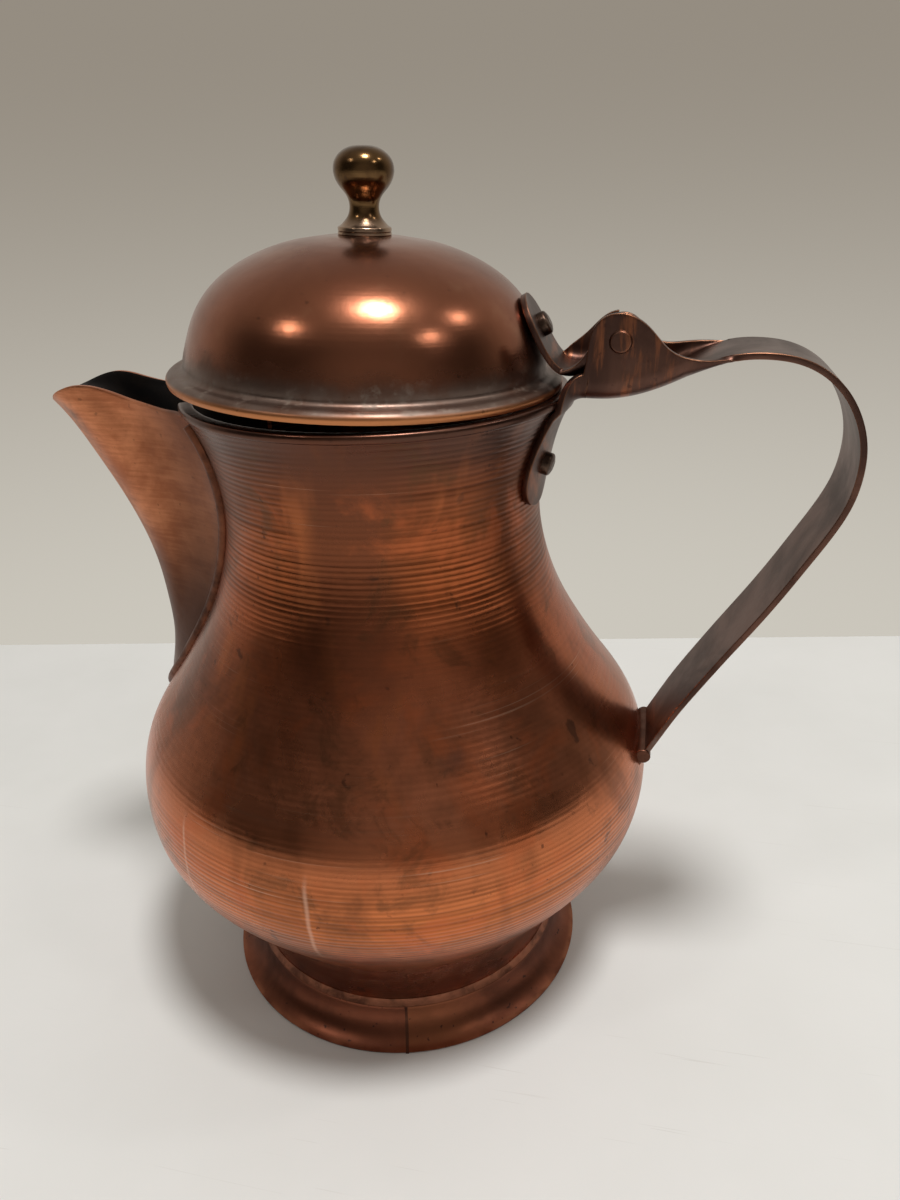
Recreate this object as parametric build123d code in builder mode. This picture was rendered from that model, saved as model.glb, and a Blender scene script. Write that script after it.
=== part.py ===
# Lidded copper jug: spun body on a flared foot, folded spout, domed lid on a strap hinge,
# one strap handle whose upper end carries the hinge.
# Units are millimetres. Z is up, the origin is the centre of the foot's lower edge,
# the handle points to +X and the spout to -X.
import os
from math import cos, radians, sin, sqrt
from build123d import *

os.makedirs("parts", exist_ok=True)

# foot
foot_r = 60.0            # radius of the foot on the table
foot_h = 11.6            # height of the foot ring's upper edge
foot_t = 1.4             # sheet of the foot ring
seam_angle = -76.0       # place of the foot ring's butt seam, from +X
seam_w = 1.0

# body
wall = 1.2               # sheet of the body
collar_r = 51.2          # radius of the body's collar inside the foot ring
bottom_z = 8.5           # underside of the body's bottom
bottom_round = 1.6       # outer radius of the bottom's corner
belly_r = 80.4           # widest radius
belly_z = 75.3
waist_r = 45.8           # narrowest radius of the neck
neck_h = 32.3            # from the waist to the rim
rim_z = 192.9            # height of the neck's rim
rim_r = 53.8             # outer radius of the rim's hem
hem_w = 3.9              # width of the hem
hem_h = 2.4              # height of the hem

# spout
spout_t = 1.2            # sheet of the spout
spout_low = 86.0         # height where the keel leaves the body
notch_w = 48.0           # opening in the neck behind the spout, at the rim
notch_deep = 59.9        # its lowest point, under the rim

# lid
lid_tilt = 2.8           # the lid rests on its hinge side and stands open at the spout
lid_back = 2.3           # the lid's centre lies this far towards the spout
lid_rise = 2.72          # the lid's edge over the rim
lid_over = 0.1           # the bead's reach over the rim
lid_t = 1.1              # sheet of the lid
dome_h = 36.5            # height of the knob's seat over the lid's edge
bead_w = 4.7             # width of the rolled bead
bead_h = 4.6
seat_r = 7.6             # flat seat of the knob on the dome
knob_r = 7.8             # ball of the knob
knob_h = 21.0
stud_r = 2.2             # stud of the knob
washer_r = 6.0
washer_t = 1.2

# hinge and handle
pin_out = 13.2           # hinge axis outside the rim
pin_up = 14.3            # and over it
pin_r = 2.0
pin_play = 0.05          # radial play of the lid's ears on the pin
pin_head_r = 2.9
pin_head_h = 0.5
strap_w = 24.0           # width of the handle strap
strap_t = 1.6            # thickness of the handle strap
seat_gap = 0.02          # between the strap's tongue and the neck
leaf_w = 20.0            # width of the lid's hinge leaf
leaf_t = 1.5
leaf_rise = 5.5          # the leaf's floor over the rim
tab_rise = 24.3          # the leaf's tab over the rim
eye_r = 6.2              # radius of the leaf's near ear round the pin
far_eye_r = 4.9          # and of its far ear
handle_low = 82.0        # height where the handle is butted on the belly
solder_r = 2.3           # size of the handle's solder

# rivets
rivet_r = 1.6
rivet_head_r = 3.1
rivet_head_h = 2.5
rivet_back_r = 2.9
rivet_back_h = 0.9
neck_rivet_down = 17.5   # neck rivet under the rim
neck_rivet_turn = -10.0  # and its place round the neck, from +X
lid_rivet_up = 16.6      # lid rivet over the rim

# what follows from them
rim_in = rim_r - hem_w
waist_z = rim_z - neck_h
neck_end = (rim_r - 0.9, rim_z - hem_h)
collar_z = foot_h + 1.0
pin_x = rim_r + pin_out
pin_z = rim_z + pin_up


def between(start, end, shares):
    """Points whose x and y go from one corner to the other by their shares."""
    return [(start[0] + a * (end[0] - start[0]), start[1] + b * (end[1] - start[1])) for a, b in shares]


def curve(points, ends):
    """Smooth curve through points of a plane, with its end directions."""
    return Edge.make_spline([Vector(*p) for p in points], tangents=[Vector(*t) for t in ends])


def offset_points(edge, distance, count):
    """Points beside a curve, on its left."""
    out = []
    for i in range(count + 1):
        p, t = edge @ (i / count), edge % (i / count)
        out.append((p.X - t.Y * distance, p.Y + t.X * distance))
    return out


# the body's outline: collar to belly, belly to waist, waist to rim
belly_pts = between((collar_r, collar_z), (belly_r, belly_z), [
    (0, 0), (0.058, 0.112), (0.164, 0.242), (0.308, 0.36), (0.497, 0.475), (0.709, 0.603), (0.901, 0.751)])
belly_pts += between((waist_r, waist_z), (belly_r, belly_z), [
    (1, 1), (0.896, 0.797), (0.662, 0.652), (0.425, 0.506), (0.228, 0.362), (0.072, 0.193), (0, 0)])
belly_pts += between((waist_r, waist_z), neck_end, [(0.2535, 0.515), (0.859, 0.936), (1, 1)])
belly_ends = [(0.0, 1.0), (0.5, 1.0)]
belly_edge = curve(belly_pts, belly_ends)
inner_pts = offset_points(belly_edge, wall, 36)


def belly_place(z):
    """Place on the body's outline at a height: radius and direction."""
    lo, hi = 0.0, 1.0
    for _ in range(24):
        mid = (lo + hi) / 2
        lo, hi = (mid, hi) if (belly_edge @ mid).Y < z else (lo, mid)
    return (belly_edge @ lo).X, belly_edge % lo


# the plane that profiles are drawn on, turned so that no seam line meets a cut-out
turn = radians(100)
profile_plane = Plane(origin=(0, 0, 0), x_dir=(cos(turn), sin(turn), 0), z_dir=(sin(turn), -cos(turn), 0))
corner = bottom_round * (1 - sqrt(0.5))
bottom_arc = [(collar_r - bottom_round, bottom_z), (collar_r - corner, bottom_z + corner),
              (collar_r, bottom_z + bottom_round)]

# the body's outside as a full solid, used to fit the other pieces to it
with BuildPart() as body_full:
    with BuildSketch(profile_plane):
        with BuildLine():
            Spline(*belly_pts, tangents=belly_ends)
            Polyline(neck_end, (neck_end[0], rim_z + 40), (0, rim_z + 40), (0, bottom_z), bottom_arc[0])
            ThreePointArc(*bottom_arc)
            Line(bottom_arc[2], belly_pts[0])
        make_face()
    revolve(axis=Axis.Z)

# the spun wall with its hem, before it is cut out
inner_low = collar_r - wall
inner_top = bottom_z + wall
inner_round = 1.2
inner_corner = inner_round * (1 - sqrt(0.5))
inner_kept = [p for p in inner_pts if p[1] < rim_z - hem_h - 0.9]
with BuildPart() as body_wall:
    with BuildSketch(profile_plane):
        with BuildLine():
            Spline(*belly_pts, tangents=belly_ends)
            Polyline(neck_end, (rim_r - 0.6, rim_z - hem_h), (rim_r, rim_z - hem_h + 0.6), (rim_r, rim_z - 0.8),
                     (rim_r - 0.25, rim_z - 0.25), (rim_r - 0.8, rim_z), (rim_in + 0.8, rim_z),
                     (rim_in + 0.25, rim_z - 0.25), (rim_in, rim_z - 0.8), (rim_in, rim_z - hem_h + 0.7),
                     inner_kept[-1])
            Spline(*inner_kept)
            Line(inner_kept[0], (inner_low, inner_top + inner_round))
            ThreePointArc((inner_low, inner_top + inner_round), (inner_low - inner_corner, inner_top + inner_corner),
                          (inner_low - inner_round, inner_top))
            Polyline((inner_low - inner_round, inner_top), (0, inner_top), (0, bottom_z), bottom_arc[0])
            ThreePointArc(*bottom_arc)
            Line(bottom_arc[2], belly_pts[0])
        make_face()
    revolve(axis=Axis.Z)

# the rim's outside, used to fit the other pieces to it
with BuildPart() as hem:
    with BuildSketch(profile_plane):
        with Locations(((rim_in + rim_r) / 2, rim_z - hem_h / 2)):
            Rectangle(rim_r - rim_in, hem_h)
    revolve(axis=Axis.Z)

# levels of the spout: share of the height, keel outside the body, half width, share of the pinched outline
spout_levels = [
    (0.0, -3.03, 3.2, 0.0), (0.056, 0.42, 6.0, 0.0), (0.112, 3.43, 9.0, 0.0), (0.187, 7.41, 12.6, 0.0),
    (0.262, 11.78, 14.8, 0.1), (0.365, 18.9, 16.4, 0.25), (0.486, 26.49, 18.5, 0.4),
    (0.599, 33.53, 20.6, 0.55), (0.692, 39.08, 22.8, 0.7), (0.805, 44.61, 25.8, 0.85),
    (0.926, 49.49, 28.4, 1.0), (1.048, 56.35, 29.8, 1.0),
]
spout_levels = [(spout_low + a * (rim_z - spout_low), out, half, share) for a, out, half, share in spout_levels]
pinched = [(0.0, 0.0), (0.04, 0.12), (0.1, 0.22), (0.2, 0.35), (0.3, 0.395), (0.38, 0.39), (0.46, 0.39),
           (0.54, 0.42), (0.62, 0.47), (0.7, 0.54), (0.78, 0.625), (0.86, 0.72), (0.93, 0.84), (1.0, 1.0)]


def spout_body(inset):
    """Solid with the spout's outside, or with its inside when it is inset by the sheet."""
    sections = []
    for z, out, half, share in spout_levels:
        body_r = belly_place(min(z, neck_end[1] - 0.5))[0]
        half = half - 1.08 * inset
        keel = (1.15 + 0.75 * share) * inset - body_r - out
        root = max(-sqrt(body_r ** 2 - half ** 2), keel + 0.6)
        pts = [(keel + u * (root - keel), half * (share * w + (1 - share) * u ** 0.62)) for u, w in pinched]
        pts.append((root + 2.0, half + 0.6 + 1.2 * share))
        right = Edge.make_spline([Vector(x, y, z) for x, y in pts])
        left = Edge.make_spline([Vector(x, -y, z) for x, y in reversed(pts)])
        x1, y1 = pts[-1]
        x2 = -waist_r * 0.4
        a, b = Vector(x1, y1, z), Vector(x1, -y1, z)
        c, d = Vector(x2, y1, z), Vector(x2, -y1, z)
        sections.append(Wire([right, Edge.make_line(a, c), Edge.make_line(c, d), Edge.make_line(d, b), left]))
    return Solid.make_loft(sections)


spout_outside = spout_body(0.0)
spout_inside = spout_body(spout_t)

# region above the spout's lip; the lip is given outside and over the rim
lip = [(58.2, -12.4), (47.6, -5.8), (43.2, -2.7), (38.2, -0.3), (33.2, 1.0), (28.2, 0.9), (23.2, -0.3),
       (18.2, -1.7), (13.2, -2.9), (8.2, -3.7), (3.2, -4.1), (-1.8, -3.9), (-7.8, -3.3), (-15.8, -2.7)]
lip_pts = [(-rim_r - out, rim_z + up) for out, up in lip]
with BuildPart() as above_lip:
    with BuildSketch(Plane.XZ):
        with BuildLine():
            Spline(*lip_pts)
            Polyline(lip_pts[-1], (lip_pts[-1][0], rim_z + 47), (lip_pts[0][0], rim_z + 47), lip_pts[0])
        make_face()
    extrude(amount=rim_r, both=True)

# opening in the neck behind the spout
notch_side = [(notch_w / 2 * a, rim_z - notch_deep * b) for a, b in ((1, 0.082), (0.71, 0.499), (0.375, 0.85))]
with BuildPart() as notch:
    with BuildSketch(Plane.YZ.offset(-0.65 * waist_r)):
        with BuildLine():
            x, z = notch_side[0]
            Polyline((-x, z), (-x, rim_z + 47), (x, rim_z + 47), (x, z))
            Spline(*notch_side, (0, rim_z - notch_deep), *[(-x, z) for x, z in reversed(notch_side)])
        make_face()
    extrude(amount=-waist_r)

# the neck rivet stands square to the neck
neck_rivet_z = rim_z - neck_rivet_down
neck_r, neck_t = belly_place(neck_rivet_z)
rivet_turn = Rot(0, 0, neck_rivet_turn)
neck_plane = Plane(rivet_turn * Plane(origin=(neck_r, 0, neck_rivet_z), x_dir=(0, 1, 0),
                                      z_dir=(neck_t.Y, 0, -neck_t.X)).location)

# spun body
with BuildPart() as body_shell:
    add(body_wall.part)
    add(notch.part, mode=Mode.SUBTRACT)
    with BuildSketch(neck_plane):
        Circle(rivet_r)
    extrude(amount=6, both=True, mode=Mode.SUBTRACT)

# flared foot ring with its butt seam
edge_h = 0.7
edge_w = 2.0
flare_out = between((collar_r + foot_t, foot_h), (foot_r, 0), [(0, 0), (0.135, 0.414), (0.486, 0.741)])
flare_in = between((foot_r - edge_w, 0), (collar_r, foot_h), [(0, 0), (0.426, 0.164), (0.84, 0.517)])
with BuildPart() as foot_full:
    with BuildSketch(profile_plane):
        with BuildLine():
            Line((collar_r, foot_h), (collar_r + foot_t, foot_h))
            Spline(*flare_out, (foot_r, edge_h), tangents=[(0.05, -1), (1, -0.35)])
            Polyline((foot_r, edge_h), (foot_r, 0), (foot_r - edge_w, 0))
            Spline(*flare_in, (collar_r, foot_h - 2.4), tangents=[(-1, 0.35), (-0.05, 1)])
            Line((collar_r, foot_h - 2.4), (collar_r, foot_h))
        make_face()
    revolve(axis=Axis.Z)

with BuildPart() as seam_slot:
    with Locations(Rot(0, 0, seam_angle) * Pos((collar_r + foot_r) / 2, 0, foot_h / 2)):
        Box(foot_r - collar_r + 6, seam_w, foot_h + 2)

with BuildPart() as foot_ring:
    add(foot_full.part)
    add(seam_slot.part, mode=Mode.SUBTRACT)

with BuildPart() as foot_seam:
    add(foot_full.part)
    add(seam_slot.part, mode=Mode.INTERSECT)

# solder between the foot ring and the collar
bead_top = foot_h + 2.2
with BuildPart() as foot_solder:
    with BuildSketch(profile_plane):
        with BuildLine():
            Line((collar_r - 1.0, foot_h), (collar_r + foot_t - 0.1, foot_h))
            ThreePointArc((collar_r + foot_t - 0.1, foot_h), (collar_r + foot_t * 0.54, foot_h + 0.95),
                          (collar_r + 0.25, bead_top))
            Polyline((collar_r + 0.25, bead_top), (collar_r - 1.0, bead_top), (collar_r - 1.0, foot_h))
        make_face()
    revolve(axis=Axis.Z)
    add(body_full.part, mode=Mode.SUBTRACT)

# folded spout
with BuildPart() as spout_cut:
    add(spout_outside)
    add(spout_inside, mode=Mode.SUBTRACT)
    add(body_full.part, mode=Mode.SUBTRACT)
    add(hem.part, mode=Mode.SUBTRACT)
    add(above_lip.part, mode=Mode.SUBTRACT)

with BuildPart() as spout:
    add(spout_cut.part.solids().sort_by(SortBy.VOLUME)[-1])

# solder seam round the spout's root
seam_top = rim_z - hem_h - 2.5
seam_path = [(seam_top, spout_levels[-2][2] + 0.3)] + [(z, half) for z, _, half, _ in reversed(spout_levels[3:-2])]
seam_path.append((spout_levels[2][0] + 0.5, spout_levels[2][2] - 0.3))
side = [(-sqrt((belly_place(z)[0] + 0.2) ** 2 - half ** 2), half, z) for z, half in seam_path]
keel_z = spout_levels[1][0] + 0.4
under = [(-belly_place(keel_z)[0] - 0.3, 0.0, keel_z)]
with BuildPart() as spout_solder:
    with BuildLine() as seam_line:
        Spline(*(side + under + [(x, -y, z) for x, y, z in reversed(side)]))
    with BuildSketch(Plane(origin=seam_line.line @ 0, z_dir=seam_line.line % 0)):
        Circle(1.8)
    sweep(path=seam_line.line)
    add(body_full.part, mode=Mode.SUBTRACT)
    add(spout_outside, mode=Mode.SUBTRACT)
    add(above_lip.part, mode=Mode.SUBTRACT)
    add(hem.part, mode=Mode.SUBTRACT)

# the lid's own axis, leaning towards the hinge
lid_z = rim_z + lid_rise
lid_place = Pos(-lid_back, 0, lid_z) * Rot(0, lid_tilt, 0)

edge_r = rim_r + lid_over
dome_r = edge_r - bead_w
dome_pts = between((seat_r, bead_h), (dome_r, dome_h), [
    (0, 1), (0.118, 0.984), (0.264, 0.953), (0.428, 0.89), (0.601, 0.787), (0.772, 0.627), (0.906, 0.395),
    (0.981, 0.125), (1, 0)])
dome_ends = [(1.0, 0.0), (0.0, -1.0)]
dome_edge = curve(dome_pts, dome_ends)
dome_in = offset_points(dome_edge, -lid_t, 18)
bead_out = between((dome_r, 0), (edge_r, bead_h), [(0, 1), (0.15, 0.728), (0.51, 0.641), (0.83, 0.511),
                                                 (1, 0.261), (0.936, 0)])
bead_in = between((dome_r, 0), (edge_r, bead_h), [(0.723, 0), (0.766, 0.217), (0.66, 0.337), (0.468, 0.402),
                                                (0.043, 0.478)]) + [(dome_r - lid_t, bead_h)]

with BuildPart() as lid_full_flat:
    with BuildSketch(Plane.XZ):
        with BuildLine():
            Line((0, dome_h), (seat_r, dome_h))
            Spline(*dome_pts, tangents=dome_ends)
            Spline(*bead_out, tangents=[(0, -1), (-0.3, -1)])
            Polyline(bead_out[-1], (0, 0), (0, dome_h))
        make_face()
    revolve(axis=Axis.Z)

# domed lid with a rolled bead at its edge
with BuildPart() as lid_dome_flat:
    with BuildSketch(Plane.XZ):
        with BuildLine():
            Line((0, dome_h), (seat_r, dome_h))
            Spline(*dome_pts, tangents=dome_ends)
            Spline(*bead_out, tangents=[(0, -1), (-0.3, -1)])
            Line(bead_out[-1], bead_in[0])
            Spline(*bead_in, tangents=[(0.3, 1), (0, 1)])
            Spline(*([bead_in[-1]] + list(reversed(dome_in))[1:-1] + [(seat_r, dome_h - lid_t)]),
                   tangents=[(0, 1), (-1, 0)])
            Polyline((seat_r, dome_h - lid_t), (0, dome_h - lid_t), (0, dome_h))
        make_face()
    revolve(axis=Axis.Z)
    with BuildSketch(Plane.XZ):
        with Locations((stud_r / 2, dome_h)):
            Rectangle(stud_r, 8)
    revolve(axis=Axis.Z, mode=Mode.SUBTRACT)

# turned knob, its stud peened over the washer
stud_low = dome_h - lid_t - washer_t
knob_base = seat_r - 0.55
knob_line = between((0, dome_h), (knob_r, dome_h + knob_h), [
    (0.705, 0.148), (0.577, 0.205), (0.494, 0.305), (0.564, 0.429), (0.795, 0.538), (0.962, 0.648), (1, 0.738),
    (0.936, 0.838), (0.692, 0.938), (0.372, 0.988), (0, 1)])
with BuildPart() as lid_knob_flat:
    with BuildSketch(Plane.XZ):
        with BuildLine():
            Polyline((0, stud_low - 1.2), (stud_r - 0.4, stud_low - 1.2))
            ThreePointArc((stud_r - 0.4, stud_low - 1.2), (stud_r + 0.6, stud_low - 0.8), (stud_r + 0.9, stud_low))
            Polyline((stud_r + 0.9, stud_low), (stud_r, stud_low), (stud_r, dome_h), (knob_base, dome_h),
                     (knob_base, dome_h + 2.0), (knob_base - 0.35, dome_h + 2.1))
            Spline((knob_base - 0.35, dome_h + 2.1), *knob_line, tangents=[(-1, 0.5), (-1, 0)])
            Line(knob_line[-1], (0, stud_low - 1.2))
        make_face()
    revolve(axis=Axis.Z)

with BuildPart() as knob_washer_flat:
    with BuildSketch(Plane.XZ):
        with Locations(((stud_r + washer_r) / 2, dome_h - lid_t - washer_t / 2)):
            Rectangle(washer_r - stud_r, washer_t)
    revolve(axis=Axis.Z)

with BuildPart() as lid_full:
    add(lid_place * lid_full_flat.part)

with BuildPart() as lid_knob:
    add(lid_place * lid_knob_flat.part)

with BuildPart() as knob_washer:
    add(lid_place * knob_washer_flat.part)

# hinge leaf of the lid: a tab that lies on the dome and is riveted to it, a floor and two ears round the pin
tab_angle = radians(26.57)
touch = max((dome_edge @ (i / 200) for i in range(201)),
            key=lambda p: p.X * cos(tab_angle + radians(lid_tilt)) + p.Y * sin(tab_angle + radians(lid_tilt)))
touch_x = touch.X * cos(radians(lid_tilt)) + touch.Y * sin(radians(lid_tilt)) - lid_back
touch_z = touch.Y * cos(radians(lid_tilt)) - touch.X * sin(radians(lid_tilt)) + lid_z
tab_dir = Vector(cos(tab_angle), 0, sin(tab_angle))
tab_face = touch_x * tab_dir.X + touch_z * tab_dir.Z - 0.08       # the tab's inner face, along tab_dir
floor_z = rim_z + leaf_rise + leaf_t / 2                          # middle of the floor
tab_top = rim_z + tab_rise
lid_rivet_z = rim_z + lid_rivet_up


def on_tab(z, depth):
    """X of the tab at a height, at a depth from its inner face."""
    return (tab_face + depth - tab_dir.Z * z) / tab_dir.X


tab_mid = [(on_tab(z, leaf_t / 2), z) for z in (tab_top, floor_z)]
top_plane = Plane(origin=(on_tab(tab_top, 0), 0, tab_top), x_dir=(0, 1, 0), z_dir=tab_dir)
lid_rivet_plane = Plane(origin=(on_tab(lid_rivet_z, leaf_t), 0, lid_rivet_z), x_dir=(0, 1, 0), z_dir=tab_dir)

with BuildPart() as lid_dome:
    add(lid_place * lid_dome_flat.part)
    with BuildSketch(lid_rivet_plane):
        Circle(rivet_r)
    extrude(amount=8, both=True, mode=Mode.SUBTRACT)

with BuildPart() as lid_strap:
    with BuildSketch(Plane.XZ):
        with BuildLine():
            FilletPolyline(tab_mid[0], tab_mid[1], (pin_x - 5.5, floor_z), radius=3.2)
        trace(line_width=leaf_t)
    extrude(amount=leaf_w / 2, both=True)
    with BuildSketch(Plane.XZ.offset(leaf_w / 2 - leaf_t)):
        with Locations((pin_x, pin_z)):
            Circle(eye_r)
        with Locations((pin_x - 7.4, floor_z)):
            Rectangle(3.8, leaf_t)
        make_hull()
    extrude(amount=leaf_t)
    with BuildSketch(Plane.XZ.offset(-leaf_w / 2)):
        with Locations((pin_x, pin_z)):
            Circle(far_eye_r)
        with Locations((pin_x - 10.5, floor_z)):
            Rectangle(10.0, leaf_t)
        with Locations((pin_x - 13.8, pin_z - 4.6)):
            Circle(1.2)
        make_hull()
    extrude(amount=leaf_t)
    with BuildSketch(top_plane):
        with Locations((0, 1)):
            Rectangle(leaf_w + 6, 2 * (leaf_w / 2 + 1))
        with Locations((0, -leaf_w / 2)):
            Circle(leaf_w / 2, mode=Mode.SUBTRACT)
        with Locations((0, -leaf_w)):
            Rectangle(leaf_w + 8, 2 * leaf_w / 2, mode=Mode.SUBTRACT)
    extrude(amount=6, both=True, mode=Mode.SUBTRACT)
    with Locations(Pos(pin_x, 0, pin_z) * Rot(90, 0, 0)):
        Cylinder(pin_r + pin_play, leaf_w * 2, mode=Mode.SUBTRACT)
    add(lid_full.part, mode=Mode.SUBTRACT)
    with BuildSketch(lid_rivet_plane):
        Circle(rivet_r)
    extrude(amount=8, both=True, mode=Mode.SUBTRACT)

# handle strap: tongue round the neck, trough with ears for the pin, bow, butted end on the belly
trough_z = rim_z - 0.6 + strap_t / 2
crest = [(10.7, trough_z - rim_z), (18.6, 1.6), (25.8, 4.3), (30.4, 6.5), (34.8, 8.7), (39.2, 10.3), (44.2, 11.1),
         (49.2, 11.1), (56.2, 9.9), (61.7, 7.3), (66.7, 2.9), (70.7, -3.4), (73.0, -10.9), (73.2, -17.9)]
crest_pts = [(rim_r + out, rim_z + up) for out, up in crest]
low_end = (belly_place(handle_low)[0] - 2.5, handle_low)
bow = crest_pts + between(low_end, crest_pts[-1], [
    (0.976, 0.925), (0.911, 0.839), (0.818, 0.747), (0.717, 0.651), (0.595, 0.543), (0.464, 0.435), (0.332, 0.323),
    (0.206, 0.21), (0.101, 0.102), (0.043, 0.043), (0, 0)])

# tops of the ears, from the pin
near_ear = [(-12.1, -12.7), (-9.6, -10.3), (-8.5, -6.9), (-8.1, -3.8), (-7.8, -0.3), (-6.8, 3.1), (-4.6, 5.6),
            (-0.6, 6.8), (3.0, 6.0), (6.8, 3.4), (9.4, 0.6), (12.5, -2.3), (16.6, -3.9), (21.0, -4.2)]
far_ear = [(-12.1, -12.7), (-9.6, -10.3), (-8.5, -6.9), (-7.6, -3.4), (-6.2, 0.2), (-3.8, 3.0), (-0.4, 4.1),
           (3.0, 3.0), (5.6, 0.2), (7.6, -2.3), (10.5, -3.5), (16.0, -3.4), (21.0, -3.1)]

# tongue of the strap: a band that follows the neck and passes outside the hem
clear_r = rim_r + 0.05
tongue_pts = [(r + t.Y * seat_gap, z - t.X * seat_gap)
              for z, (r, t) in ((z, belly_place(z)) for z in
                                [waist_z - 4 + i * (neck_end[1] - waist_z + 1.5) / 7 for i in range(8)])]
tongue_edge = curve(tongue_pts, [(0.0, 1.0), (0.35, 1.0)])
tongue_face = offset_points(tongue_edge, -strap_t, 12)
with BuildPart() as tongue_band:
    with BuildSketch(Plane.XZ):
        with BuildLine():
            Spline(*tongue_pts, tangents=[(0.0, 1.0), (0.35, 1.0)])
            Polyline(tongue_pts[-1], (clear_r, rim_z - hem_h - 0.3), (clear_r, trough_z + strap_t / 2),
                     (clear_r + strap_t, trough_z + strap_t / 2), (clear_r + strap_t, rim_z - hem_h), tongue_face[-1])
            Spline(*reversed(tongue_face))
            Line(tongue_face[0], tongue_pts[0])
        make_face()
    revolve(axis=Axis.Z)

# outline of the tongue, seen along the neck rivet: how far aside, and height under the rim
tongue_side = [(-3.9, 2.0), (-6.4, -6.0), (-8.8, -14.0), (-9.6, -20.0), (-8.2, -25.4), (-4.2, -28.8), (1.2, -29.0),
               (6.2, -25.6), (9.8, -18.6), (13.4, -9.0), (20.2, 2.0)]
with BuildPart() as tongue:
    add(tongue_band.part)
    with BuildSketch(Plane(rivet_turn * Plane.YZ.location)):
        with BuildLine():
            Spline(*[(a, rim_z + up) for a, up in tongue_side])
            Line((tongue_side[-1][0], rim_z + tongue_side[-1][1]), (tongue_side[0][0], rim_z + tongue_side[0][1]))
        make_face()
    extrude(amount=rim_r * 1.5, mode=Mode.INTERSECT)

with BuildPart() as neck_clear:
    with Locations((0, 0, rim_z)):
        Cylinder(clear_r, 12)

with BuildPart() as handle_strap:
    with BuildSketch(Plane.XZ):
        with BuildLine():
            Line((clear_r - 4, trough_z), bow[0])
            Spline(*bow, tangents=[(1, 0), (-0.5, -0.95)])
        trace(line_width=strap_t)
    extrude(amount=strap_w / 2, both=True)
    for y, top in ((strap_w / 2 - strap_t, near_ear), (-strap_w / 2, far_ear)):
        with BuildSketch(Plane.XZ.offset(y)):
            with BuildLine():
                ear = [(pin_x + a, pin_z + b) for a, b in top]
                Polyline((clear_r + 0.5, trough_z - 0.4), (clear_r - 0.9, trough_z + 0.3), ear[0])
                Spline(*ear)
                Polyline(ear[-1], *reversed(crest_pts[:5]), (clear_r + 2, trough_z), (clear_r + 0.5, trough_z - 0.4))
            make_face()
        extrude(amount=strap_t)
    add(neck_clear.part, mode=Mode.SUBTRACT)
    add(tongue.part)
    with Locations(Pos(pin_x, 0, pin_z) * Rot(90, 0, 0)):
        Cylinder(pin_r, strap_w * 2, mode=Mode.SUBTRACT)
    with BuildSketch(neck_plane):
        Circle(rivet_r)
    extrude(amount=6, both=True, mode=Mode.SUBTRACT)
    with BuildSketch(neck_plane.offset(strap_t + seat_gap)):
        Circle(rivet_head_r + 0.1)
    extrude(amount=4, mode=Mode.SUBTRACT)
    add(body_full.part, mode=Mode.SUBTRACT)

# hinge pin, peened at both ends
with BuildPart() as hinge_pin:
    with Locations(Pos(pin_x, 0, pin_z) * Rot(90, 0, 0)):
        Cylinder(pin_r, strap_w)
    for sign in (1, -1):
        with Locations(Pos(pin_x, sign * (strap_w / 2 + pin_head_h / 2), pin_z) * Rot(-90 * sign, 0, 0)):
            Cone(pin_head_r, pin_head_r - 0.5, pin_head_h)


def rivet_top(sheet):
    """Pan head above zero and the shank through the sheets, along Z."""
    low = -sheet - rivet_back_h
    side_h = rivet_head_h * 0.55
    with BuildPart() as made:
        with BuildSketch(Plane.XZ):
            with BuildLine():
                Polyline((0, low), (rivet_r, low), (rivet_r, 0), (rivet_head_r, 0), (rivet_head_r, side_h))
                Spline((rivet_head_r, side_h), (rivet_head_r * 0.9, rivet_head_h * 0.82),
                       (rivet_head_r * 0.6, rivet_head_h * 0.96), (0, rivet_head_h), tangents=[(0, 1), (-1, 0)])
                Line((0, rivet_head_h), (0, low))
            make_face()
        revolve(axis=Axis.Z)
    return made.part


def rivet_back(sheet):
    """Flat head on the far side of the sheets, along Z."""
    with BuildPart() as made:
        with Locations((0, 0, -sheet - rivet_back_h)):
            Cylinder(rivet_back_r, rivet_back_h + 0.6, align=(Align.CENTER, Align.CENTER, Align.MIN))
    return made.part


# rivet through the tongue and the neck
neck_head = neck_plane.offset(strap_t + seat_gap).location
with BuildPart() as neck_rivet:
    add(neck_head * rivet_back(strap_t + seat_gap + wall))
    add(body_wall.part, mode=Mode.SUBTRACT)
    add(neck_head * rivet_top(strap_t + seat_gap + wall))

# rivet through the leaf's tab and the dome
with BuildPart() as lid_rivet:
    add(lid_rivet_plane.location * rivet_back(leaf_t + lid_t + 0.25))
    add(lid_place * lid_dome_flat.part, mode=Mode.SUBTRACT)
    add(lid_rivet_plane.location * rivet_top(leaf_t + lid_t + 0.25))

# solder where the handle is butted on the belly
solder_z = handle_low + 4.6
with BuildPart() as handle_solder:
    with Locations(Pos(belly_place(solder_z)[0] + 0.6, 0, solder_z) * Rot(90, 0, 0)):
        Cylinder(solder_r, strap_w + 1.4)
    fillet(handle_solder.edges().filter_by(GeomType.CIRCLE), 0.5)
    add(body_full.part, mode=Mode.SUBTRACT)
    add(handle_strap.part, mode=Mode.SUBTRACT)

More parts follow.
